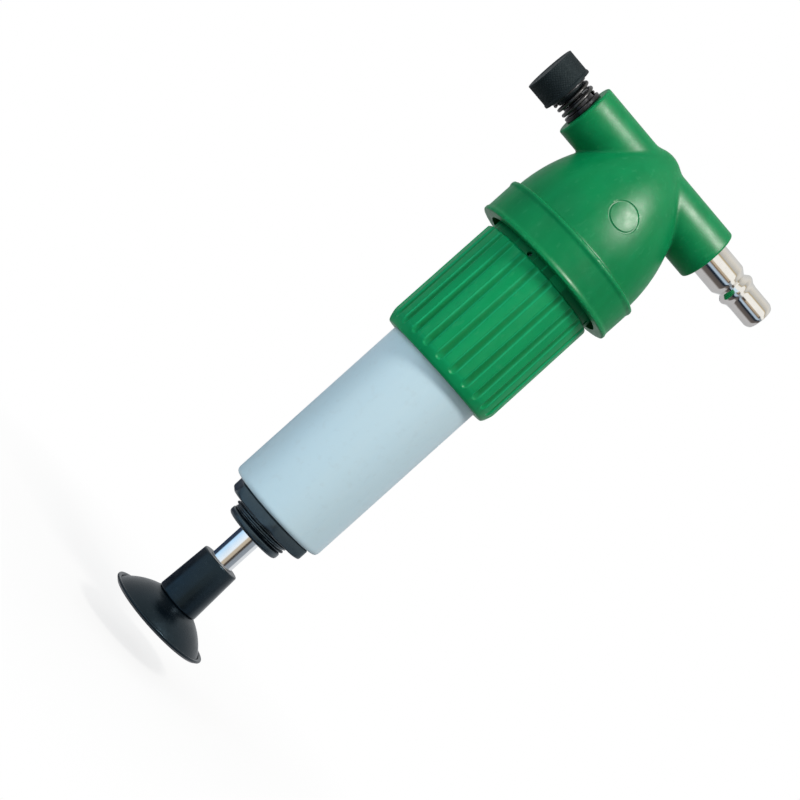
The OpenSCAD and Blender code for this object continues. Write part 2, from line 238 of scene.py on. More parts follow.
def set_world():
    """White where it is seen directly, even soft light on the tool, a banded room in mirrors."""
    world = bpy.data.worlds.new("studio")
    bpy.context.scene.world = world
    world.use_nodes = True
    tree = world.node_tree
    tree.nodes.clear()
    link = tree.links.new

    def background(strength, colour=(1.0, 1.0, 1.0)):
        node = tree.nodes.new("ShaderNodeBackground")
        node.inputs["Color"].default_value = (*colour, 1.0)
        node.inputs["Strength"].default_value = strength
        return node

    def choose(ray, otherwise, then):
        node = tree.nodes.new("ShaderNodeMixShader")
        link(path.outputs[ray], node.inputs["Fac"])
        link(otherwise.outputs[0], node.inputs[1])
        link(then.outputs[0], node.inputs[2])
        return node

    def banded(side, stops):
        """Colour by the angle from the front, at -Y, towards the given side."""
        front = calculate(tree, "MULTIPLY", y, -1.0)
        angle = calculate(tree, "ARCTAN2", side, front)
        share = calculate(tree, "ADD", calculate(tree, "DIVIDE", angle, 2 * math.pi), 0.5)
        ramp = tree.nodes.new("ShaderNodeValToRGB")
        bands = ramp.color_ramp.elements
        while len(bands) < len(stops):
            bands.new(0.5)
        for band, (degrees, colour) in zip(bands, stops):
            band.position = degrees / 360.0 + 0.5
            band.color = (*colour, 1.0)
        link(share, ramp.inputs["Fac"])
        return ramp.outputs["Color"]

    path = tree.nodes.new("ShaderNodeLightPath")
    where = tree.nodes.new("ShaderNodeTexCoord")
    axes = tree.nodes.new("ShaderNodeSeparateXYZ")
    link(where.outputs["Generated"], axes.inputs["Vector"])
    x, y, z = axes.outputs
    middle, fade_start, fade_end = LEVEL_BAND
    off = calculate(tree, "ABSOLUTE", calculate(tree, "ADD", z, -middle))
    mask = tree.nodes.new("ShaderNodeMapRange")
    mask.interpolation_type = "SMOOTHSTEP"
    mask.inputs["From Min"].default_value = fade_start
    mask.inputs["From Max"].default_value = fade_end
    link(off, mask.inputs["Value"])
    mix = tree.nodes.new("ShaderNodeMix")
    mix.data_type = "RGBA"
    link(mask.outputs["Result"], mix.inputs["Factor"])
    link(banded(x, ROUND_THE_TOOL), mix.inputs["A"])
    link(banded(z, OVER_THE_TOOL), mix.inputs["B"])
    room = background(1.0)
    link(mix.outputs["Result"], room.inputs["Color"])
    indirect = choose("Is Glossy Ray", background(*SOFT_LIGHT), room)
    seen = choose("Is Camera Ray", indirect, background(1.0))
    out = tree.nodes.new("ShaderNodeOutputWorld")
    link(seen.outputs["Shader"], out.inputs["Surface"])


def add_glint(*objects):
    """A light that only puts a shine on the green plastic."""
    glint = add_softbox("glint", *KEY_SIDE, (0.50, 0.50), 78.0, (1.0, 0.94, 0.88))
    glint.visible_diffuse = False
    glint.light_linking.receiver_collection = collect("green_pieces", objects)


def spare_chrome(light, *objects):
    """Bright metal mirrors the banded room alone; a lamp in it would burn out to a ragged spot."""
    spared = collect("chrome", objects)
    for entry in spared.collection_objects:
        entry.light_linking.link_state = "EXCLUDE"
    light.light_linking.receiver_collection = spared


def add_floor():
    """A wide pale floor just below the cup's lowest place, fading into the white background."""
    radius, gap, fade_start, fade_end = 2.0, 0.0001, -0.70, 0.18
    mesh = bpy.data.meshes.new("floor")
    made = bmesh.new()
    bmesh.ops.create_circle(made, cap_ends=True, segments=96, radius=radius)
    made.to_mesh(mesh)
    made.free()
    floor = show("floor", mesh)
    floor.location.z = (CUP_LOW[2] - travel_mm("piston_slide")) * MM - gap
    paint = Paint("floor_paper", (0.92, 0.92, 0.92), 0.8)
    paint.tint(paint.noise(300.0), (0.90, 0.905, 0.91), 0.5)
    paint.glow_outwards(fade_start, fade_end)
    floor.data.materials.append(paint.material)
    floor.visible_glossy = False
    floor.visible_diffuse = False


# ---- materials ----

class Paint:
    """A Principled material that noise, wear and bump are added to step by step."""

    def __init__(self, name, colour, roughness, metallic=0.0):
        self.material = bpy.data.materials.new(name)
        self.material.use_nodes = True
        self.tree = self.material.node_tree
        self.link = self.tree.links.new
        self.shader = self.tree.nodes["Principled BSDF"]
        self.set(Roughness=roughness, Metallic=metallic)
        self.where = self._add("TexCoord").outputs["Object"]
        self.colour = self._flat(colour)
        self.link(self.colour, self.shader.inputs["Base Color"])
        self.last_bump = None

    def _add(self, kind):
        return self.tree.nodes.new("ShaderNode" + kind)

    def _flat(self, colour):
        node = self._add("RGB")
        node.outputs[0].default_value = (*colour, 1.0)
        return node.outputs[0]

    def set(self, **values):
        """Sets plain inputs of the shader, such as Coat_Weight=0.3."""
        for name, value in values.items():
            self.shader.inputs[name.replace("_", " ")].default_value = value

    def noise(self, size, stretch=(1.0, 1.0, 1.0), detail=3.0, low=0.0, high=1.0):
        """Noise whose features are size millimetres across, kept between low and high."""
        mapping = self._add("Mapping")
        mapping.inputs["Scale"].default_value = [1.0 / (size * MM * s) for s in stretch]
        self.link(self.where, mapping.inputs["Vector"])
        node = self._add("TexNoise")
        node.inputs["Scale"].default_value = 1.0
        node.inputs["Detail"].default_value = detail
        self.link(mapping.outputs["Vector"], node.inputs["Vector"])
        return self.between(node.outputs["Fac"], 0.3, 0.7, low, high)

    def between(self, value, start, end, low=0.0, high=1.0):
        """Maps start..end to low..high and clamps it."""
        node = self._add("MapRange")
        self.link(value, node.inputs["Value"])
        ends = {"From Min": start, "From Max": end, "To Min": low, "To Max": high}
        for name, number in ends.items():
            node.inputs[name].default_value = number
        return node.outputs["Result"]

    def math(self, kind, first, second):
        return calculate(self.tree, kind, first, second)

    def tint(self, where, colour, amount=1.0):
        """Mixes another colour in where the value is high."""
        node = self._add("Mix")
        node.data_type = "RGBA"
        self.link(self.math("MULTIPLY", where, amount), node.inputs["Factor"])
        self.link(self.colour, node.inputs["A"])
        self.link(self._flat(colour), node.inputs["B"])
        self.colour = node.outputs["Result"]
        self.link(self.colour, self.shader.inputs["Base Color"])

    def rough(self, where, low, high):
        """Roughness runs from low to high with the value."""
        self.link(self.between(where, 0.0, 1.0, low, high), self.shader.inputs["Roughness"])

    def bump(self, height, depth):
        """Adds relief of depth millimetres."""
        node = self._add("Bump")
        node.inputs["Distance"].default_value = depth * MM
        self.link(height, node.inputs["Height"])
        if self.last_bump is not None:
            self.link(self.last_bump, node.inputs["Normal"])
        self.last_bump = node.outputs["Normal"]
        self.link(self.last_bump, self.shader.inputs["Normal"])

    def glow_outwards(self, start, end):
        """White light of its own: none at start metres from the origin, nothing else at end."""
        far = self._add("VectorMath")
        far.operation = "LENGTH"
        self.link(self.where, far.inputs[0])
        glow = self._add("Emission")
        glow.inputs["Color"].default_value = (1.0, 1.0, 1.0, 1.0)
        mix = self._add("MixShader")
        self.link(self.between(far.outputs["Value"], start, end), mix.inputs["Fac"])
        self.link(self.shader.outputs["BSDF"], mix.inputs[1])
        self.link(glow.outputs["Emission"], mix.inputs[2])
        out = self.tree.nodes["Material Output"]
        self.link(mix.outputs["Shader"], out.inputs["Surface"])

    def _pointed(self, start, end):
        return self.between(self._add("NewGeometry").outputs["Pointiness"], start, end)

    def edges(self):
        """High on convex edges, where a finish wears."""
        return self._pointed(0.52, 0.58)

    def hollows(self):
        """High in creases, where dirt and shade collect."""
        return self._pointed(0.49, 0.43)


def green_plastic(name, base, deep, pale):
    """Moulded green plastic: satin skin, faint flow marks, rubbed edges and a few pale scuffs."""
    paint = Paint(name, base, 0.34)
    paint.set(Specular_IOR_Level=0.09, Subsurface_Weight=0.03, Subsurface_Scale=0.002,
              Subsurface_Radius=(0.1, 1.0, 0.4))
    paint.tint(paint.noise(14.0, detail=4.0), deep, 0.5)
    paint.tint(paint.noise(5.0, stretch=(1.0, 1.0, 4.0)), pale, 0.3)
    scuffs = paint.noise(1.8, stretch=(1.0, 1.0, 2.0), detail=6.0, low=-3.0, high=1.2)
    paint.tint(scuffs, (0.05, 0.36, 0.15), 0.14)
    paint.tint(paint.edges(), pale, 0.7)
    # Painted shade, with some dirt, darkens the creases.
    paint.tint(paint.hollows(), [c * 0.45 for c in deep], 0.7)
    paint.rough(paint.noise(3.0, detail=5.0), 0.32, 0.44)
    paint.bump(paint.noise(2.4), 0.012)
    paint.bump(paint.noise(0.5, detail=3.0), 0.003)
    return paint


def head_plastic():
    paint = green_plastic("head_green", base=(0.001, 0.212, 0.064), deep=(0.001, 0.160, 0.056),
                          pale=(0.006, 0.29, 0.10))
    return paint.material


def sleeve_plastic():
    """The sleeve's lighter green, with painted shade down in the flutes and a painted highlight along their edges.
    """
    paint = green_plastic("sleeve_green", base=(0.001, 0.300, 0.096), deep=(0.001, 0.235, 0.080),
                          pale=(0.006, 0.36, 0.14))
    place = paint.tree.nodes.new("ShaderNodeSeparateXYZ")
    paint.link(paint.where, place.inputs["Vector"])
    x, y, z = place.outputs

    def height_band(start, end, low=0.0, high=1.0):
        """Low to high between two heights, in millimetres from the sleeve's foot."""
        foot = SLEEVE_LOW[2]
        return paint.between(z, (foot + start) * MM, (foot + end) * MM, low, high)

    def depth_band(start, end):
        """0 to 1 between two depths under the sleeve's skin, in millimetres."""
        return paint.between(radius, (SLEEVE_R - start) * MM, (SLEEVE_R - end) * MM)

    top = SLEEVE_TOP - SLEEVE_LOW[2]
    squares = paint.math("ADD", paint.math("MULTIPLY", x, x), paint.math("MULTIPLY", y, y))
    radius = paint.math("ADD", paint.math("POWER", squares, 0.5),
                        height_band(5.0, top, 0.0, SLEEVE_TAPER * MM))
    along = paint.math("MULTIPLY", height_band(3.0, 6.0), height_band(top, top - 1.0))
    # Painted shade: darker down in the flutes.
    paint.tint(paint.math("MULTIPLY", depth_band(0.3, 0.7), along), (0.001, 0.155, 0.036), 0.75)
    # Painted highlight: a pale band along the flutes' edges.
    rim = paint.math("MULTIPLY", depth_band(0.02, 0.10), depth_band(0.45, 0.25))
    paint.tint(paint.math("MULTIPLY", rim, along), (0.012, 0.44, 0.19), 0.6)
    return paint.material


def tube_plastic():
    """Pale blue-grey extruded pipe: faint draw lines along it and a little handling dirt."""
    paint = Paint("tube_plastic", (0.57, 0.755, 0.85), 0.35)
    paint.set(Specular_IOR_Level=0.4, Subsurface_Weight=0.06, Subsurface_Scale=0.003,
              Subsurface_Radius=(0.6, 0.9, 1.0))
    paint.tint(paint.noise(18.0, stretch=(1.0, 1.0, 3.0)), (0.585, 0.745, 0.81), 0.7)
    paint.tint(paint.noise(2.2, stretch=(1.0, 1.0, 30.0)), (0.535, 0.73, 0.83), 0.35)
    paint.tint(paint.noise(2.6, detail=6.0, low=-2.0, high=1.0), (0.40, 0.47, 0.50), 0.10)
    paint.rough(paint.noise(4.0, stretch=(1.0, 1.0, 6.0)), 0.30, 0.42)
    paint.bump(paint.noise(0.8, stretch=(1.0, 1.0, 40.0)), 0.003)
    paint.bump(paint.noise(6.0), 0.02)
    return paint.material


def black_plastic():
    """Glass-filled black plastic: fine grain, greyed edges."""
    paint = Paint("black_plastic", (0.003, 0.006, 0.010), 0.38)
    # The blue specular tint is a painted bluish reflection.
    paint.set(Specular_IOR_Level=1.0, Specular_Tint=(0.60, 0.85, 1.0, 1.0))
    paint.tint(paint.noise(4.0, detail=4.0), (0.005, 0.009, 0.014), 0.7)
    paint.tint(paint.edges(), (0.06, 0.07, 0.08), 0.5)
    paint.tint(paint.noise(0.5, detail=6.0, low=-2.0, high=1.0), (0.05, 0.05, 0.055), 0.2)
    paint.rough(paint.noise(1.5, detail=4.0), 0.27, 0.38)
    paint.bump(paint.noise(0.25, detail=4.0), 0.006)
    return paint.material


def knob_plastic():
    """Black knob: dull, fine-grained and a little dusty."""
    paint = Paint("knob_plastic", (0.006, 0.010, 0.012), 0.6)
    # The blue specular tint is a painted bluish reflection.
    paint.set(Specular_IOR_Level=0.22, Specular_Tint=(0.75, 0.95, 1.0, 1.0))
    paint.tint(paint.noise(3.0, detail=5.0), (0.012, 0.017, 0.020), 0.7)
    paint.tint(paint.edges(), (0.04, 0.05, 0.055), 0.4)
    paint.rough(paint.noise(1.0), 0.5, 0.7)
    paint.bump(paint.noise(0.2, detail=4.0), 0.006)
    return paint.material


def black_rubber():
    """Bluish black rubber, a little dusty, with a painted bluish reflection from its blue specular tint."""
    paint = Paint("black_rubber", (0.0010, 0.0022, 0.0040), 0.36)
    # The blue specular tint is a painted bluish reflection.
    paint.set(Specular_IOR_Level=0.42, Specular_Tint=(0.50, 0.78, 1.0, 1.0))
    paint.tint(paint.noise(6.0, detail=5.0), (0.003, 0.006, 0.009), 0.7)
    paint.tint(paint.noise(1.2, detail=7.0, low=-3.0, high=1.0), (0.05, 0.06, 0.065), 0.10)
    paint.tint(paint.edges(), (0.012, 0.018, 0.024), 0.5)
    paint.rough(paint.noise(2.5, detail=5.0), 0.20, 0.32)
    paint.bump(paint.noise(0.9), 0.006)
    return paint.material


def ground_metal(name, colour, roughness, lines, depth):
    """Bright metal with fine lines round its axis, from grinding or turning."""
    size, stretch = lines
    paint = Paint(name, colour, roughness[0], metallic=1.0)
    rings = paint.noise(size, stretch, detail=4.0)
    paint.tint(paint.noise(5.0, detail=4.0), [c * 0.86 for c in colour], 0.6)
    paint.tint(rings, [c * 0.8 for c in colour], 0.3)
    paint.rough(paint.noise(2.5, detail=5.0), *roughness)
    paint.bump(rings, depth)
    return paint.material


def blackened_steel():
    """Blackened, oiled steel: dark, with bright rubbed edges."""
    paint = Paint("blackened_steel", (0.030, 0.032, 0.036), 0.3, metallic=0.85)
    paint.tint(paint.noise(2.0, detail=5.0), (0.055, 0.055, 0.060), 0.8)
    paint.tint(paint.edges(), (0.22, 0.21, 0.20), 0.4)
    paint.rough(paint.noise(1.0, detail=5.0), 0.22, 0.42)
    paint.bump(paint.noise(0.3, detail=4.0), 0.006)
    return paint.material


def waxy_plastic(name, colour):
    """Plain low-friction plastic with a soft, waxy skin."""
    paint = Paint(name, colour, 0.45)
    paint.set(Subsurface_Weight=0.1, Subsurface_Scale=0.002)
    paint.tint(paint.noise(4.0, detail=4.0), [c * 0.9 for c in colour], 0.6)
    paint.rough(paint.noise(1.5), 0.38, 0.55)
    paint.bump(paint.noise(0.5, detail=4.0), 0.008)
    return paint.material


ROUND_Z = (1.0, 1.0, 0.02)
ROUND_X = (0.02, 1.0, 1.0)
EVEN = (1.0, 1.0, 1.0)
METALS = {
    # colour, lowest and highest roughness, (size in mm and stretch) and depth in mm of the lines
    "polished_chrome": ((0.82, 0.83, 0.85), (0.07, 0.12), (8.0, ROUND_Z), 0.0006),
    "nickel_plate": ((0.82, 0.80, 0.77), (0.08, 0.14), (8.0, ROUND_X), 0.0008),
    "plated_steel": ((0.62, 0.63, 0.62), (0.25, 0.4), (5.0, ROUND_Z), 0.006),
    "spring_steel": ((0.50, 0.51, 0.53), (0.25, 0.4), (2.0, EVEN), 0.006),
    "piston_alloy": ((0.70, 0.71, 0.73), (0.2, 0.35), (9.0, ROUND_Z), 0.01),
    "bronze": ((0.62, 0.42, 0.18), (0.3, 0.45), (4.0, ROUND_Z), 0.01),
}


def make_materials():
    """One material for each slot of the record, and one each for the sleeve and the knob."""
    return {
        "green_plastic": head_plastic(),
        "sleeve_green": sleeve_plastic(),
        "tube_plastic": tube_plastic(),
        "black_plastic": black_plastic(),
        "knob_plastic": knob_plastic(),
        "black_rubber": black_rubber(),
        **{name: ground_metal(name, *looks) for name, looks in METALS.items()},
        "blackened_steel": blackened_steel(),
        "white_ptfe": waxy_plastic("white_ptfe", (0.82, 0.81, 0.75)),
        "white_acetal": waxy_plastic("white_acetal", (0.76, 0.76, 0.73)),
    }


# ---- mesh making ----

def arc(centre, radius, start, end, steps):
    """Points on a circle about (r, z), from one angle to another in degrees."""
    angles = np.radians(np.linspace(start, end, steps + 1))
    return [(centre[0] + radius * math.cos(a), centre[1] + radius * math.sin(a)) for a in angles]


def soften(corners, steps=5):
    """Outline from (r, z) or (r, z, size) corners. A size rounds its corner by about that much."""
    points = []
    count = len(corners)
    for i, corner in enumerate(corners):
        here = np.array(corner[:2], float)
        size = corner[2] if len(corner) > 2 else 0.0
        if size <= 0:
            points.append(tuple(here))
            continue
        before = np.array(corners[i - 1][:2], float) - here
        after = np.array(corners[(i + 1) % count][:2], float) - here
        first = here + before * min(size / np.linalg.norm(before), 0.5)
        last = here + after * min(size / np.linalg.norm(after), 0.5)
        for t in np.linspace(0.0, 1.0, steps + 1):
            bend = first * (1 - t) ** 2 + here * 2 * t * (1 - t) + last * t ** 2
            points.append(tuple(bend))
    return points


def grid_faces(rows, columns, on_axis):
    """Quads round a closed outline. A row on the axis is one point, so triangles meet there."""
    index, used = [], 0
    for row in range(rows):
        if on_axis[row]:
            index.append([used] * columns)
            used += 1
        else:
            index.append(list(range(used, used + columns)))
            used += columns
    faces = []
    for row in range(rows):
        other = (row + 1) % rows
        if on_axis[row] and on_axis[other]:
            continue
        for k in range(columns):
            n = (k + 1) % columns
            loop = [index[row][k], index[row][n], index[other][n], index[other][k]]
            faces.append([v for i, v in enumerate(loop) if v != loop[i - 1]])
    return faces


def wire_faces(rings, sides, closed):
    """Quads along a round wire. A closed wire's last ring meets its first; an open one has ends."""
    faces = []
    for i in range(rings if closed else rings - 1):
        here, there = i * sides, (i + 1) % rings * sides
        for k in range(sides):
            n = (k + 1) % sides
            faces.append([here + k, here + n, there + n, there + k])
    if not closed:
        faces.append(list(range(sides)))
        faces.append([(rings - 1) * sides + k for k in reversed(range(sides))])
    return faces


def new_object(name, points, faces, crease=32.0):
    """A closed mesh from points in millimetres, smooth except at edges over crease degrees."""
    mesh = bpy.data.meshes.new(name)
    mesh.from_pydata((np.array(points) * MM).tolist(), [], faces)
    made = bmesh.new()
    made.from_mesh(mesh)
    bmesh.ops.recalc_face_normals(made, faces=made.faces)
    made.to_mesh(mesh)
    made.free()
    obj = show(name, mesh)
    smooth(obj, crease)
    return obj


def smooth(obj, crease=32.0):
    """Smooth shading with sharp edges kept."""
    obj.data.polygons.foreach_set("use_smooth", [True] * len(obj.data.polygons))
    obj.data.set_sharp_from_angle(angle=math.radians(crease))


def lathe(name, outline, segments=192, shape=None, crease=32.0):
    """Solid of revolution about Z. Where it isn't round, shape(r, z, angles) gives the radii."""
    angles = np.arange(segments) * 2 * math.pi / segments
    on_axis = [r < 1e-6 for r, z in outline]
    points = []
    for (r, z), single in zip(outline, on_axis):
        if single:
            points.append((0.0, 0.0, z))
            continue
        radii = np.full(segments, r) if shape is None else shape(r, z, angles)
        points.extend(zip(radii * np.cos(angles), radii * np.sin(angles), np.full(segments, z)))
    return new_object(name, points, grid_faces(len(outline), segments, on_axis), crease)


def plain_bar(name, radius, low, high, segments):
    return lathe(name, [(0.0, low), (radius, low), (radius, high), (0.0, high)], segments)


def along_arm(obj, sign):
    """Lays a piece made about Z along the cross tube: +1 to the air plug, -1 to the knob."""
    turn = Matrix.Rotation(math.radians(90 * sign), 4, "Y")
    obj.data.transform(Matrix.Translation((0.0, 0.0, ARM_Z * MM)) @ turn)
    return obj


def cut(obj, *tools):
    """Takes the tools' solids out of the piece, and deletes them."""
    for tool in tools:
        step = obj.modifiers.new("cut", "BOOLEAN")
        step.operation = "DIFFERENCE"
        step.solver = "MANIFOLD"
        step.object = tool
        apply_modifiers(obj)
        bpy.data.objects.remove(tool)


def apply_modifiers(obj):
    """Bakes the modifiers into the mesh."""
    depsgraph = bpy.context.evaluated_depsgraph_get()
    baked = bpy.data.meshes.new_from_object(obj.evaluated_get(depsgraph))
    obj.modifiers.clear()
    obj.data = baked


def helix(name, mean_r, wire_r, low, high, turns, closed_turns):
    """Spring wire about Z from low to high. Its end turns are wound close, its tips rounded."""
    steps, sides, closed_lead, tip = 48, 14, 0.12, 0.96
    count = int(turns * steps)
    t = np.arange(count + 1) / steps
    from_end = np.minimum(t, turns - t)
    ease = np.clip(from_end / closed_turns, 0.0, 1.0)
    lead = np.cumsum(closed_lead + (1 - closed_lead) * ease * ease * (3 - 2 * ease))
    rise = high - low - 2 * wire_r
    height = low + wire_r + rise * (lead - lead[0]) / (lead[-1] - lead[0])
    taper = np.sqrt(1 - np.clip(1 - from_end * steps / 2, 0.0, tip) ** 2)
    around = np.arange(sides) * 2 * math.pi / sides
    points = []
    for turn, z, share in zip(t, height, taper):
        r = mean_r + wire_r * share * np.cos(around)
        a = turn * 2 * math.pi
        points.extend(zip(r * math.cos(a), r * math.sin(a), z + wire_r * share * np.sin(around)))
    return new_object(name, points, wire_faces(count + 1, sides, False), crease=60.0)


def add_piece(obj, body, slot, materials, *nodes, look=None):
    """Gives a piece a material, its slot's or its own, puts it on its body and hides the CAD nodes it stands for.
    """
    obj.data.materials.clear()
    obj.data.materials.append(materials[look or slot])
    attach(obj, body)
    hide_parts(*nodes)
    return obj


# ---- head ----

def length2(a, b):
    return np.sqrt(a * a + b * b)


def soft_min(a, b, blend):
    """The nearer of two distances, blended where they are alike: a union with a fillet."""
    h = np.clip(blend - np.abs(a - b), 0.0, None) / blend
    return np.minimum(a, b) - h * h * blend / 4


def soft_max(a, b, blend):
    """An intersection with a rounded edge."""
    return -soft_min(-a, -b, blend)


def rounded_bar(r, along, radius, low, high, edge):
    """Distance to a cylinder with rounded ends."""
    middle, half = (low + high) / 2, (high - low) / 2
    out_r = r - radius + edge
    out_z = np.abs(along - middle) - half + edge
    outside = length2(np.clip(out_r, 0.0, None), np.clip(out_z, 0.0, None))
    return outside + np.minimum(np.maximum(out_r, out_z), 0.0) - edge


def head_distance(p):
    """Distance to the head's skin: ogive dome, collar with two soft lips, and the cross tube."""
    crown_round, foot_round, lip, recess = 2.4, 0.5, 1.3, 0.35
    collar_edge, arm_edge, collar_fillet, arm_fillet = 0.55, 0.8, 0.9, 1.0
    x, y, z = p[:, 0], p[:, 1], p[:, 2]
    r = length2(x, y)
    dome = length2(r - (DOME_R - DOME_ARC), z - DOME_Z) - DOME_ARC
    dome = soft_max(dome, z - HEAD_HIGH[2], crown_round)
    dome = soft_max(dome, DOME_FOOT - z, foot_round)
    collar = rounded_bar(r, z, COLLAR_R, COLLAR_Z, COLLAR_TOP, collar_edge)
    from_middle = np.abs(z - (COLLAR_Z + COLLAR_TOP) / 2)
    band = np.clip((COLLAR_H / 2 - lip - from_middle) / 0.6, 0.0, 1.0)
    collar = collar + recess * band * band * (3 - 2 * band) * (r > DOME_R)
    arms = rounded_bar(length2(y, z - ARM_Z), x, ARM_R, -KNOB_ARM, PLUG_ARM, arm_edge)
    return soft_min(soft_min(dome, collar, collar_fillet), arms, arm_fillet)


def settle(points, distance, rounds=5, reach=0.02):
    """Moves points onto the surface where the distance is zero."""
    for _ in range(rounds):
        d = distance(points)
        slope = np.empty_like(points)
        for axis in range(3):
            step = np.zeros(3)
            step[axis] = reach
            slope[:, axis] = (distance(points + step) - distance(points - step)) / (2 * reach)
        points = points - slope * (d / np.maximum((slope * slope).sum(1), 0.25))[:, None]
    return points


def head_blank():
    """Dome, collar and cross tube as one skin, remeshed and then drawn onto the exact surface."""
    segments, voxel = 96, 0.5
    crown = math.degrees(math.asin((HEAD_HIGH[2] - DOME_Z) / DOME_ARC))
    side = arc((DOME_R - DOME_ARC, DOME_Z), DOME_ARC, -3.0, crown - 1.0, 24)
    side = [(max(r, 0.5), z) for r, z in side]
    collar = soften([(0.0, COLLAR_Z), (COLLAR_R, COLLAR_Z, 1.0),
                     (COLLAR_R, COLLAR_TOP, 1.0), (0.0, COLLAR_TOP)])
    rough = [
        lathe("dome", [(0.0, DOME_FOOT), *side, (0.0, side[-1][1])], segments),
        lathe("collar", collar, segments),
        along_arm(plain_bar("arms", ARM_R, -KNOB_ARM, PLUG_ARM, segments), 1),
    ]
    blank = rough[0]
    joined = bmesh.new()
    for part in rough:
        joined.from_mesh(part.data)
    joined.to_mesh(blank.data)
    joined.free()
    for part in rough[1:]:
        bpy.data.objects.remove(part)
    step = blank.modifiers.new("remesh", "REMESH")
    step.mode = "VOXEL"
    step.voxel_size = voxel * MM
    apply_modifiers(blank)
    points = np.empty(len(blank.data.vertices) * 3, np.float32)
    blank.data.vertices.foreach_get("co", points)
    points = settle(points.reshape(-1, 3).astype(float) / MM, head_distance)
    blank.data.vertices.foreach_set("co", (points * MM).astype(np.float32).ravel())
    blank.data.update()
    blank.name = "head_moulding"
    return blank


def ring_groove():
    """A thin ring that follows the dome's front, for the plain moulded circle there."""
    count, sides, radius, half_width, half_depth = 120, 12, 5.6, 0.5, 0.45 * 0.5
    turn = np.arange(count) * 2 * math.pi / count
    tilt = math.asin((RING_Z - DOME_Z) / DOME_ARC)
    front = DOME_R - DOME_ARC + DOME_ARC * math.cos(tilt)
    path = np.stack([radius * np.cos(turn), np.full(count, -front),
                     RING_Z + radius * np.sin(turn) * math.cos(tilt)], axis=1)
    path = settle(path, head_distance)
    out = np.stack([np.cos(turn), np.zeros(count), np.sin(turn)], axis=1)
    normal = path * (1.0, 1.0, 0.0)
    normal = normal / np.linalg.norm(normal, axis=1)[:, None]
    points = []
    for centre, side_way, deep_way in zip(path, out, normal):
        for k in range(sides):
            a = k * 2 * math.pi / sides
            points.append(centre + half_width * math.cos(a) * side_way
                          + half_depth * math.sin(a) * deep_way)
    return new_object("ring_groove", points, wire_faces(count, sides, True))


def head_cavities():
    """Cutters for the barrel's socket, the air way and the throttle's seat."""
    plug_r, plug_way_r, bush_r, knob_way_r = 6.5, 3.5, 6.0, 5.0
    mouth_r, mouth_z, step_r, air_r = 25.6, COLLAR_Z + 3.0, 7.5, 2.0
    seal_in, seal_out, seal_z, air_z = 13.0, 16.0, FACE_Z + 1.5, FACE_Z + 7.0
    socket = lathe("socket", [
        (0.0, COLLAR_Z - 1.0), (mouth_r, COLLAR_Z - 1.0), (mouth_r, mouth_z), (NECK_R, mouth_z),
        (NECK_R, FACE_Z), (seal_out, FACE_Z), (seal_out, seal_z), (seal_in, seal_z),
        (seal_in, FACE_Z), (step_r, FACE_Z), (step_r, air_z), (0.0, air_z)], 160)
    plug_in, seat_in, bush_in = PLUG_LOW[0] - 0.5, -SEAT_HIGH[0], -BUSH_HIGH[0]
    plug_way = lathe("plug_way", [
        (0.0, -seat_in), (plug_way_r, -seat_in), (plug_way_r, plug_in), (plug_r, plug_in),
        (plug_r, PLUG_ARM + 1.0), (0.0, PLUG_ARM + 1.0)], 96)
    knob_way = lathe("knob_way", [
        (0.0, seat_in), (knob_way_r, seat_in), (knob_way_r, bush_in), (bush_r, bush_in),
        (bush_r, KNOB_ARM + 1.0), (0.0, KNOB_ARM + 1.0)], 96)
    drop = plain_bar("drop", air_r, FACE_Z - 1.0, ARM_Z, 48)
    drop.data.transform(Matrix.Translation((-10.5 * MM, 0.0, 0.0)))
    return socket, along_arm(plug_way, 1), along_arm(knob_way, -1), drop


def make_head(materials):
    head = head_blank()
    cut(head, ring_groove(), *head_cavities())
    smooth(head, 40.0)
    return add_piece(head, "barrel", "green_plastic", materials, "head")


# ---- barrel ----

def port_cutters(inner, outer):
    """Radial drills for the exhaust ports."""
    drills = []
    for i in range(PORTS):
        drill = plain_bar("port", PORT_R, inner, outer, 24)
        angle = math.radians(FIRST_PORT + i * 360 / PORTS)
        turn = Matrix.Rotation(angle, 4, "Z") @ Matrix.Rotation(math.radians(90), 4, "Y")
        drill.data.transform(Matrix.Translation((0.0, 0.0, PORT_Z * MM)) @ turn)
        drills.append(drill)
    return drills


def flute_depth(r, z, angles):
    """Radius of the sleeve's skin: round-bottomed grooves that end above its foot."""
    groove_r, groove_out, soft, start = 2.0, 1.2, 0.25, SLEEVE_LOW[2] + 3.5
    if r < NECK_R + 0.2 or z > SLEEVE_TOP + 0.01:
        return np.full(len(angles), r)
    pitch = 2 * math.pi / FLUTES
    aside = (np.mod(angles + pitch / 2, pitch) - pitch / 2) * SLEEVE_R
    away = length2(aside, max(start - z, 0.0))
    floor = SLEEVE_R + groove_out - np.sqrt(np.clip(groove_r ** 2 - away ** 2, 0.0, None))
    floor = np.where(away < groove_r, floor, SLEEVE_R + groove_out)
    return soft_min(np.full(len(angles), r), floor, soft)


def sleeve_outline():
    """Half section of the sleeve, with rows close together where the flutes end."""
    r, low, top, bore = SLEEVE_R, SLEEVE_LOW[2], SLEEVE_TOP, TUBE_R + 0.02
    flare, body_start, body_end = 5.0, low + 5.2, top - 1.2
    foot = soften([(bore, low, 0.3), (r - 1.6, low, 0.5), (r - 1.0, low + 1.0)])
    taper = [(r - ((flare - h) / 4) ** 1.6, low + h) for h in np.arange(1.15, flare, 0.15)]
    body = [(r - SLEEVE_TAPER * t, body_start + t * (body_end - body_start))
            for t in np.linspace(0.0, 1.0, 14)]
    crown = soften([(r - SLEEVE_TAPER, body_end), (r - 0.3, top - 0.1, 0.7),
                    (NECK_R + 0.35, top, 0.3), (NECK_R, top + 0.4, 0.2)])[1:]
    neck = soften([(NECK_R, NECK_TOP, 0.4), (bore, NECK_TOP, 0.3)])
    return foot + taper + body + crown + neck


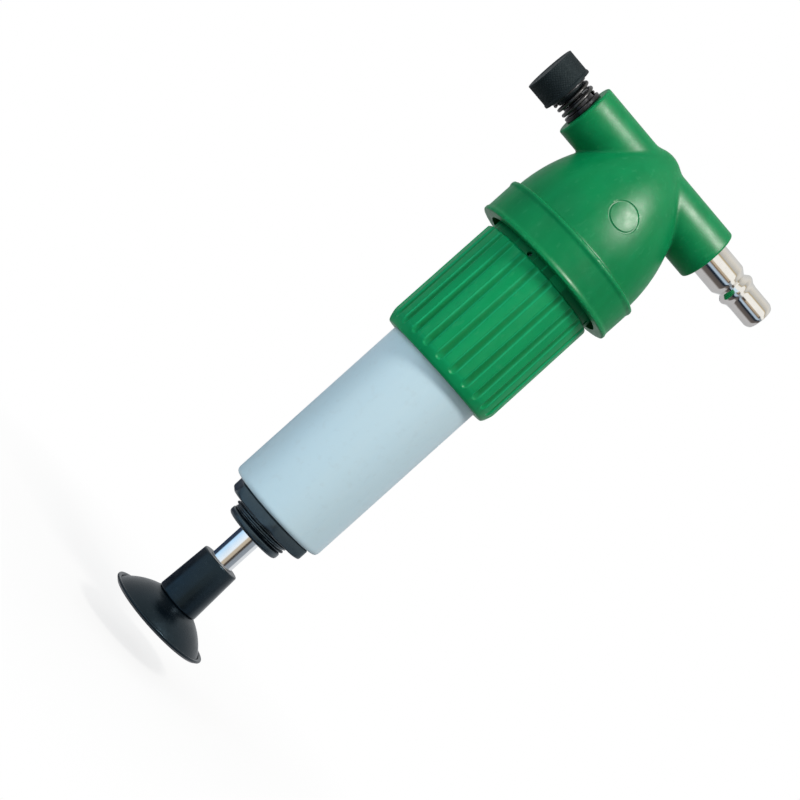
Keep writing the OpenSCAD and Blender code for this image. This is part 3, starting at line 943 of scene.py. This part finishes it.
def make_sleeve(materials):
    sleeve = lathe("fluted_sleeve", sleeve_outline(), FLUTES * 32, flute_depth, crease=50.0)
    cut(sleeve, *port_cutters(TUBE_R - 1.0, NECK_R + 1.0))
    smooth(sleeve, 50.0)
    return add_piece(sleeve, "barrel", "green_plastic", materials, "grip_sleeve",
                     look="sleeve_green")


def make_tube(materials):
    low, high = TUBE_LOW[2], TUBE_HIGH[2]
    outline = soften([(BORE_R, low, 0.4), (TUBE_R, low, 2.2), (TUBE_R, high, 0.6),
                      (BORE_R, high, 0.4)], steps=8)
    tube = lathe("pipe", outline, 256)
    cut(tube, *port_cutters(BORE_R - 1.0, TUBE_R + 1.0))
    smooth(tube)
    add_piece(tube, "barrel", "tube_plastic", materials, "cylinder_tube")


def hexagon(angles, apothem, corner):
    """Radius of a hexagon with softened corners, one of them towards -Y."""
    sector = math.pi / 3
    from_flat = np.mod(angles + math.pi / 2, sector) - sector / 2
    flat = apothem / np.cos(from_flat)
    limit = apothem / math.cos(sector / 2) - corner
    return soft_min(flat, np.full(len(angles), limit), corner * 2)


def make_hex_plug(materials):
    """Hexagon with soft edges, and the turned spigot on it that plugs the tube."""
    apothem = HEX_HIGH[1] * math.cos(math.radians(30))
    edge, bevel, bevel_slope, corner_cut, pocket = 0.5, 1.2, 1.3, 2.3, 8.0
    gland_r, gland_top, spigot_top = GLAND_HIGH[0], GLAND_HIGH[2], HEX_HIGH[2]
    rim_z, groove_r, groove_low = TUBE_Z - 0.4, BORE_R - 2.5, TUBE_Z + 7.0
    groove_high = TUBE_Z + 10.0

    def hex_radius(r, z, angles):
        if z > rim_z - 0.01 or r < gland_r + 0.5:
            return np.full(len(angles), r)
        side = hexagon(angles, apothem, edge)
        turned = apothem + corner_cut - np.clip(HEX_Z + bevel - z, 0.0, None) * bevel_slope
        return soft_min(side, np.full(len(angles), turned), edge) - (apothem - r)

    outline = [
        (gland_r, HEX_Z), *arc((apothem - edge, HEX_Z + edge), edge, -90, 0, 6),
        (apothem, HEX_Z + bevel * 0.6), (apothem, HEX_Z + bevel),
        *arc((apothem - edge, rim_z - edge - 0.02), edge, 0, 90, 5), (BORE_R, rim_z),
        (BORE_R, groove_low), (groove_r, groove_low), (groove_r, groove_high),
        (BORE_R, groove_high), (BORE_R, spigot_top - 0.5), (BORE_R - 0.5, spigot_top),
        (pocket, spigot_top), (pocket, gland_top), (gland_r, gland_top)]
    plug = lathe("hexagon_plug", outline, 360, hex_radius)
    add_piece(plug, "barrel", "black_plastic", materials, "hex_plug")


def make_gland(materials):
    """Threaded gland: a plain rounded nose, then two turns of thread up to the hexagon."""
    low, top, crest = GLAND_LOW[2], GLAND_HIGH[2], GLAND_HIGH[0]
    nose, root, pitch, run_in, row = crest - 0.3, crest - 0.9, 1.6, 0.7, 0.11
    mouth, mouth_z, bore, thread_z = 7.0, low + 2.6, ROD_R + 0.15, low + 2.9

    def thread_radius(r, z, angles):
        if r < root - 0.3 or not thread_z < z < HEX_Z:
            return np.full(len(angles), r)
        phase = np.mod((z - thread_z) / pitch - angles / (2 * math.pi), 1.0)
        ridge = np.clip(1.6 - np.abs(phase - 0.5) * 4.2, 0.0, 1.0)
        start = np.clip((z - thread_z) / run_in, 0.0, 1.0)
        return root + (crest - root) * ridge * ridge * (3 - 2 * ridge) * start

    threads = [(root, z) for z in np.arange(thread_z + 0.1, HEX_Z - 0.05, row)]
    outline = [
        *soften([(mouth, low, 0.3), (nose, low, 1.7), (nose, low + 2.5, 0.5),
                 (root, low + 2.8, 0.2)]),
        *threads, (crest, HEX_Z), (crest, top), (bore, top), (bore, mouth_z), (mouth, mouth_z)]
    gland = lathe("threaded_gland", outline, 180, thread_radius, crease=50.0)
    add_piece(gland, "barrel", "black_plastic", materials, "gland")


# ---- cup and rod ----

def make_cup(materials):
    """Suction cup: thin spherical bell with a turned-up lip, on a slightly tapered stem."""
    bell_r, bell_z, hollow_r, hollow_z = 24.1, -13.5, 25.0, -16.5
    stem_foot, stem_top, lip_r, lip_in = 8.3, 7.6, CUP_HIGH[0], 19.0
    bore, bead_r, rod_z, top = ROD_R + 0.02, ROD_R + ROD_BEAD, ROD_LOW[2], CUP_HIGH[2]
    bead_z = rod_z + 2.5
    rim = math.degrees(math.asin(-hollow_z / hollow_r))
    inner = arc((0.0, hollow_z), hollow_r, 90.0, rim, 28)
    inner[0] = (0.0, hollow_z + hollow_r)
    lip_angle = math.degrees(math.acos(lip_in / bell_r))
    stem_angle = math.degrees(math.acos((stem_foot + 1.0) / bell_r))
    lip = soften([(lip_r - 1.3, 0.0, 0.3), (lip_r, 1.1, 0.35), (lip_r - 0.1, 1.9, 0.35),
                  (lip_r - 1.5, 1.75, 0.5)], steps=4)
    bell = arc((0.0, bell_z), bell_r, lip_angle + 1.5, stem_angle, 26)
    stem = soften([(stem_foot + 0.15, bell_z + bell_r - 1.2, 0.8), (stem_top, top, 0.6),
                   (bore, top, 0.4), (bore, bead_z + 2.0), (bead_r, bead_z + 2.0), (bead_r, bead_z),
                   (ROD_R, bead_z), (ROD_R, rod_z), (0.0, rod_z)])
    cup = lathe("rubber_cup", inner + lip + bell + stem, 224)
    add_piece(cup, "rod_unit", "black_rubber", materials, "suction_cup")


def make_rod(materials):
    """Chromed rod with its bead for the cup, journal and threaded end."""
    low, top, shoulder, journal_top = ROD_LOW[2], ROD_HIGH[2], THRUST_LOW[2], NUT_LOW[2] - 1.2
    journal, thread, bevel = 3.5, 3.0, 0.4
    bead_r, bead_low, bead_top = ROD_R + ROD_BEAD, low + 2.5, low + 4.5
    outline = [(0.0, low), (ROD_R - bevel, low), (ROD_R, low + bevel), (ROD_R, bead_low),
               *soften([(bead_r, bead_low, 0.3), (bead_r, bead_top, 0.3)]), (ROD_R, bead_top),
               (ROD_R, shoulder - bevel), (ROD_R - bevel, shoulder), (journal, shoulder),
               (journal, journal_top), (thread, journal_top), (thread, top - 0.5),
               (thread - 0.5, top), (0.0, top)]
    rod = lathe("chromed_rod", outline, 160)
    return add_piece(rod, "rod_unit", "polished_chrome", materials, "piston_rod")


def washer(name, bore, radius, low, high, edge, segments):
    bore_edge = 0.1
    return lathe(name, soften([(bore, low, bore_edge), (radius, low, edge),
                               (radius, high, edge), (bore, high, bore_edge)]), segments)


def make_thrust_washer(materials):
    """Washer between the rod's shoulder and the piston, with a hair's clearance to turn in."""
    ring = washer("shoulder_washer", 3.6, THRUST_HIGH[1] - HAIR, THRUST_LOW[2],
                  THRUST_HIGH[2] - HAIR, 0.15, 96)
    add_piece(ring, "rod_unit", "plated_steel", materials, "thrust_washer")


# ---- fittings on the cross tube ----

def make_air_plug(materials):
    """Quick-connect plug: shank, ball groove, locking bead and nose."""
    shank, nose, bore, thread, seal = PLUG_HIGH[1], 5.7, 3.5, 6.5, 4.8
    groove, bead = nose - 0.25, nose + 1.15
    foot, start, end = PLUG_ARM, PLUG_LOW[0], PLUG_HIGH[0]
    seal_start, seal_end = foot - 11.6, foot - 9.4
    outline = soften([
        (bore, start), (thread - 0.5, start), (thread, start + 0.5), (thread, seal_start),
        (seal, seal_start), (seal, seal_end), (thread, seal_end), (thread, foot),
        (shank, foot, 0.2), (shank, foot + 10.8, 0.5), (groove, foot + 13.2, 0.5),
        (groove, foot + 13.5, 0.15), (bead, foot + 15.1, 0.4), (bead, foot + 16.1, 0.4),
        (nose + 0.25, foot + 17.6, 0.4), (nose, foot + 19.4, 0.4), (nose, end - 1.5, 0.6),
        (nose - 0.8, end, 0.4), (bore + 0.5, end, 0.2), (bore, end - 0.8, 0.2)])
    plug = along_arm(lathe("coupler_plug", outline, 160, crease=24.0), 1)
    return add_piece(plug, "barrel", "nickel_plate", materials, "air_plug")


def make_throttle_bush(materials):
    """Threaded bush: a flange against the arm and a boss that the spring sits on."""
    inner, boss_end, flange_end, shoulder = -BUSH_HIGH[0], -BUSH_LOW[0], KNOB_ARM + 1.7, 24.0
    flange, thread, boss = (BUSH_HIGH[1] - BUSH_LOW[1]) / 2, 6.0, 5.4
    stem_bore, shoulder_bore = 3.05, 4.05
    outline = soften([
        (shoulder_bore, inner), (thread, inner), (thread, KNOB_ARM), (flange, KNOB_ARM, 0.25),
        (flange, flange_end, 0.35), (boss, flange_end, 0.2), (boss, boss_end, 0.4),
        (stem_bore, boss_end, 0.2), (stem_bore, shoulder), (shoulder_bore, shoulder)])
    bush = along_arm(lathe("spring_bush", outline, 128), -1)
    add_piece(bush, "barrel", "blackened_steel", materials, "throttle_bush")


def make_knob(materials):
    """Knob with fine cross knurling, a plain lip towards the spring and a turned end."""
    hub_start, face, end, screw_end = -KNOB_HIGH[0], -WASHER_LOW[0], -KNOB_LOW[0], -SCREW_LOW[0]
    radius, hub, screw, lip, dish = KNOB_HIGH[1], 5.4, 3.0, 1.0, 0.25
    knurls, knurl_depth, knurl_end, row = 72, 0.16, end - 0.7, 0.11
    body = radius - 0.25

    def knurled(r, z, angles):
        if r < body - 0.05 or not face + lip < z < knurl_end:
            return np.full(len(angles), r)
        along = z / body
        left = np.abs(np.sin((angles + along) * knurls / 2))
        right = np.abs(np.sin((angles - along) * knurls / 2))
        return r - knurl_depth * (1 - np.minimum(left, right) ** 0.6)

    outline = [
        *soften([(screw, hub_start), (hub, hub_start, 0.3), (hub, face), (radius, face, 0.3),
                 (radius, face + lip, 0.3), (body, face + lip + 0.25)])[:-1],
        *[(body, z) for z in np.arange(face + lip + 0.3, knurl_end, row)],
        *soften([(body, end - 0.6), (body, end, 0.6), (body - 1.8, end, 0.2),
                 (body - 2.1, end - dish, 0.2), (0.0, end - dish)])[1:],
        (0.0, screw_end), (screw, screw_end)]
    knob = along_arm(lathe("knurled_knob", outline, knurls * 8, knurled, crease=50.0), -1)
    add_piece(knob, "throttle_unit", "black_plastic", materials, "throttle_knob",
              look="knob_plastic")


def make_throttle_washer(materials):
    low, high = -WASHER_HIGH[0], -WASHER_LOW[0] - HAIR
    ring = along_arm(washer("spring_washer", 5.45, WASHER_HIGH[1], low, high, 0.25, 128), -1)
    add_piece(ring, "throttle_follower", "blackened_steel", materials, "throttle_washer")


def make_throttle_spring(materials):
    """Spring between the bush's flange and the washer."""
    start, end, travel = -COIL_HIGH[0], -COIL_LOW[0], travel_mm("throttle_feed")
    spring = along_arm(helix("throttle_coil", 6.5, 0.65, start, end, 2.5, 0.5), -1)
    add_piece(spring, "barrel", "blackened_steel", materials, "throttle_spring")
    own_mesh(spring)


def make_return_spring(materials):
    """Spring inside the tube."""
    low, high, travel = SPRING_LOW[2], SPRING_HIGH[2], travel_mm("piston_slide")
    spring = helix("return_coil", 12.2, 1.0, low, high, 11.0, 1.0)
    add_piece(spring, "barrel", "spring_steel", materials, "return_spring")
    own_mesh(spring)


# ---- pieces inside, which keep their CAD shapes ----

def finish_inner_pieces(materials):
    """Every CAD node that still shows gets its slot's material."""
    slots = {part["node"]: part["material_slot"] for part in frame["record"]["subparts"]}
    for name, obj in frame["nodes"].items():
        if obj.hide_render:
            continue
        obj.data.materials.clear()
        obj.data.materials.append(materials[slots[name]])


set_camera()
set_world()
key = add_softbox("key", *KEY_SIDE, (0.34, 0.34), 12.5, (1.0, 0.97, 0.92))
add_softbox("fill", -60.0, 10.0, (0.6, 0.9), 7.0, (0.80, 0.92, 1.0)).visible_glossy = False
add_softbox("back", 150.0, 35.0, (0.8, 0.5), 2.5, (1.0, 1.0, 1.0)).visible_glossy = False
add_floor()
finishes = make_materials()
add_glint(make_head(finishes), make_sleeve(finishes))
for make in make_tube, make_hex_plug, make_gland, make_cup, make_thrust_washer:
    make(finishes)
spare_chrome(key, make_rod(finishes), make_air_plug(finishes))
for make in (make_throttle_bush, make_knob, make_throttle_washer, make_throttle_spring,
             make_return_spring, finish_inner_pieces):
    make(finishes)
bpy.context.scene.view_settings.view_transform = "Standard"
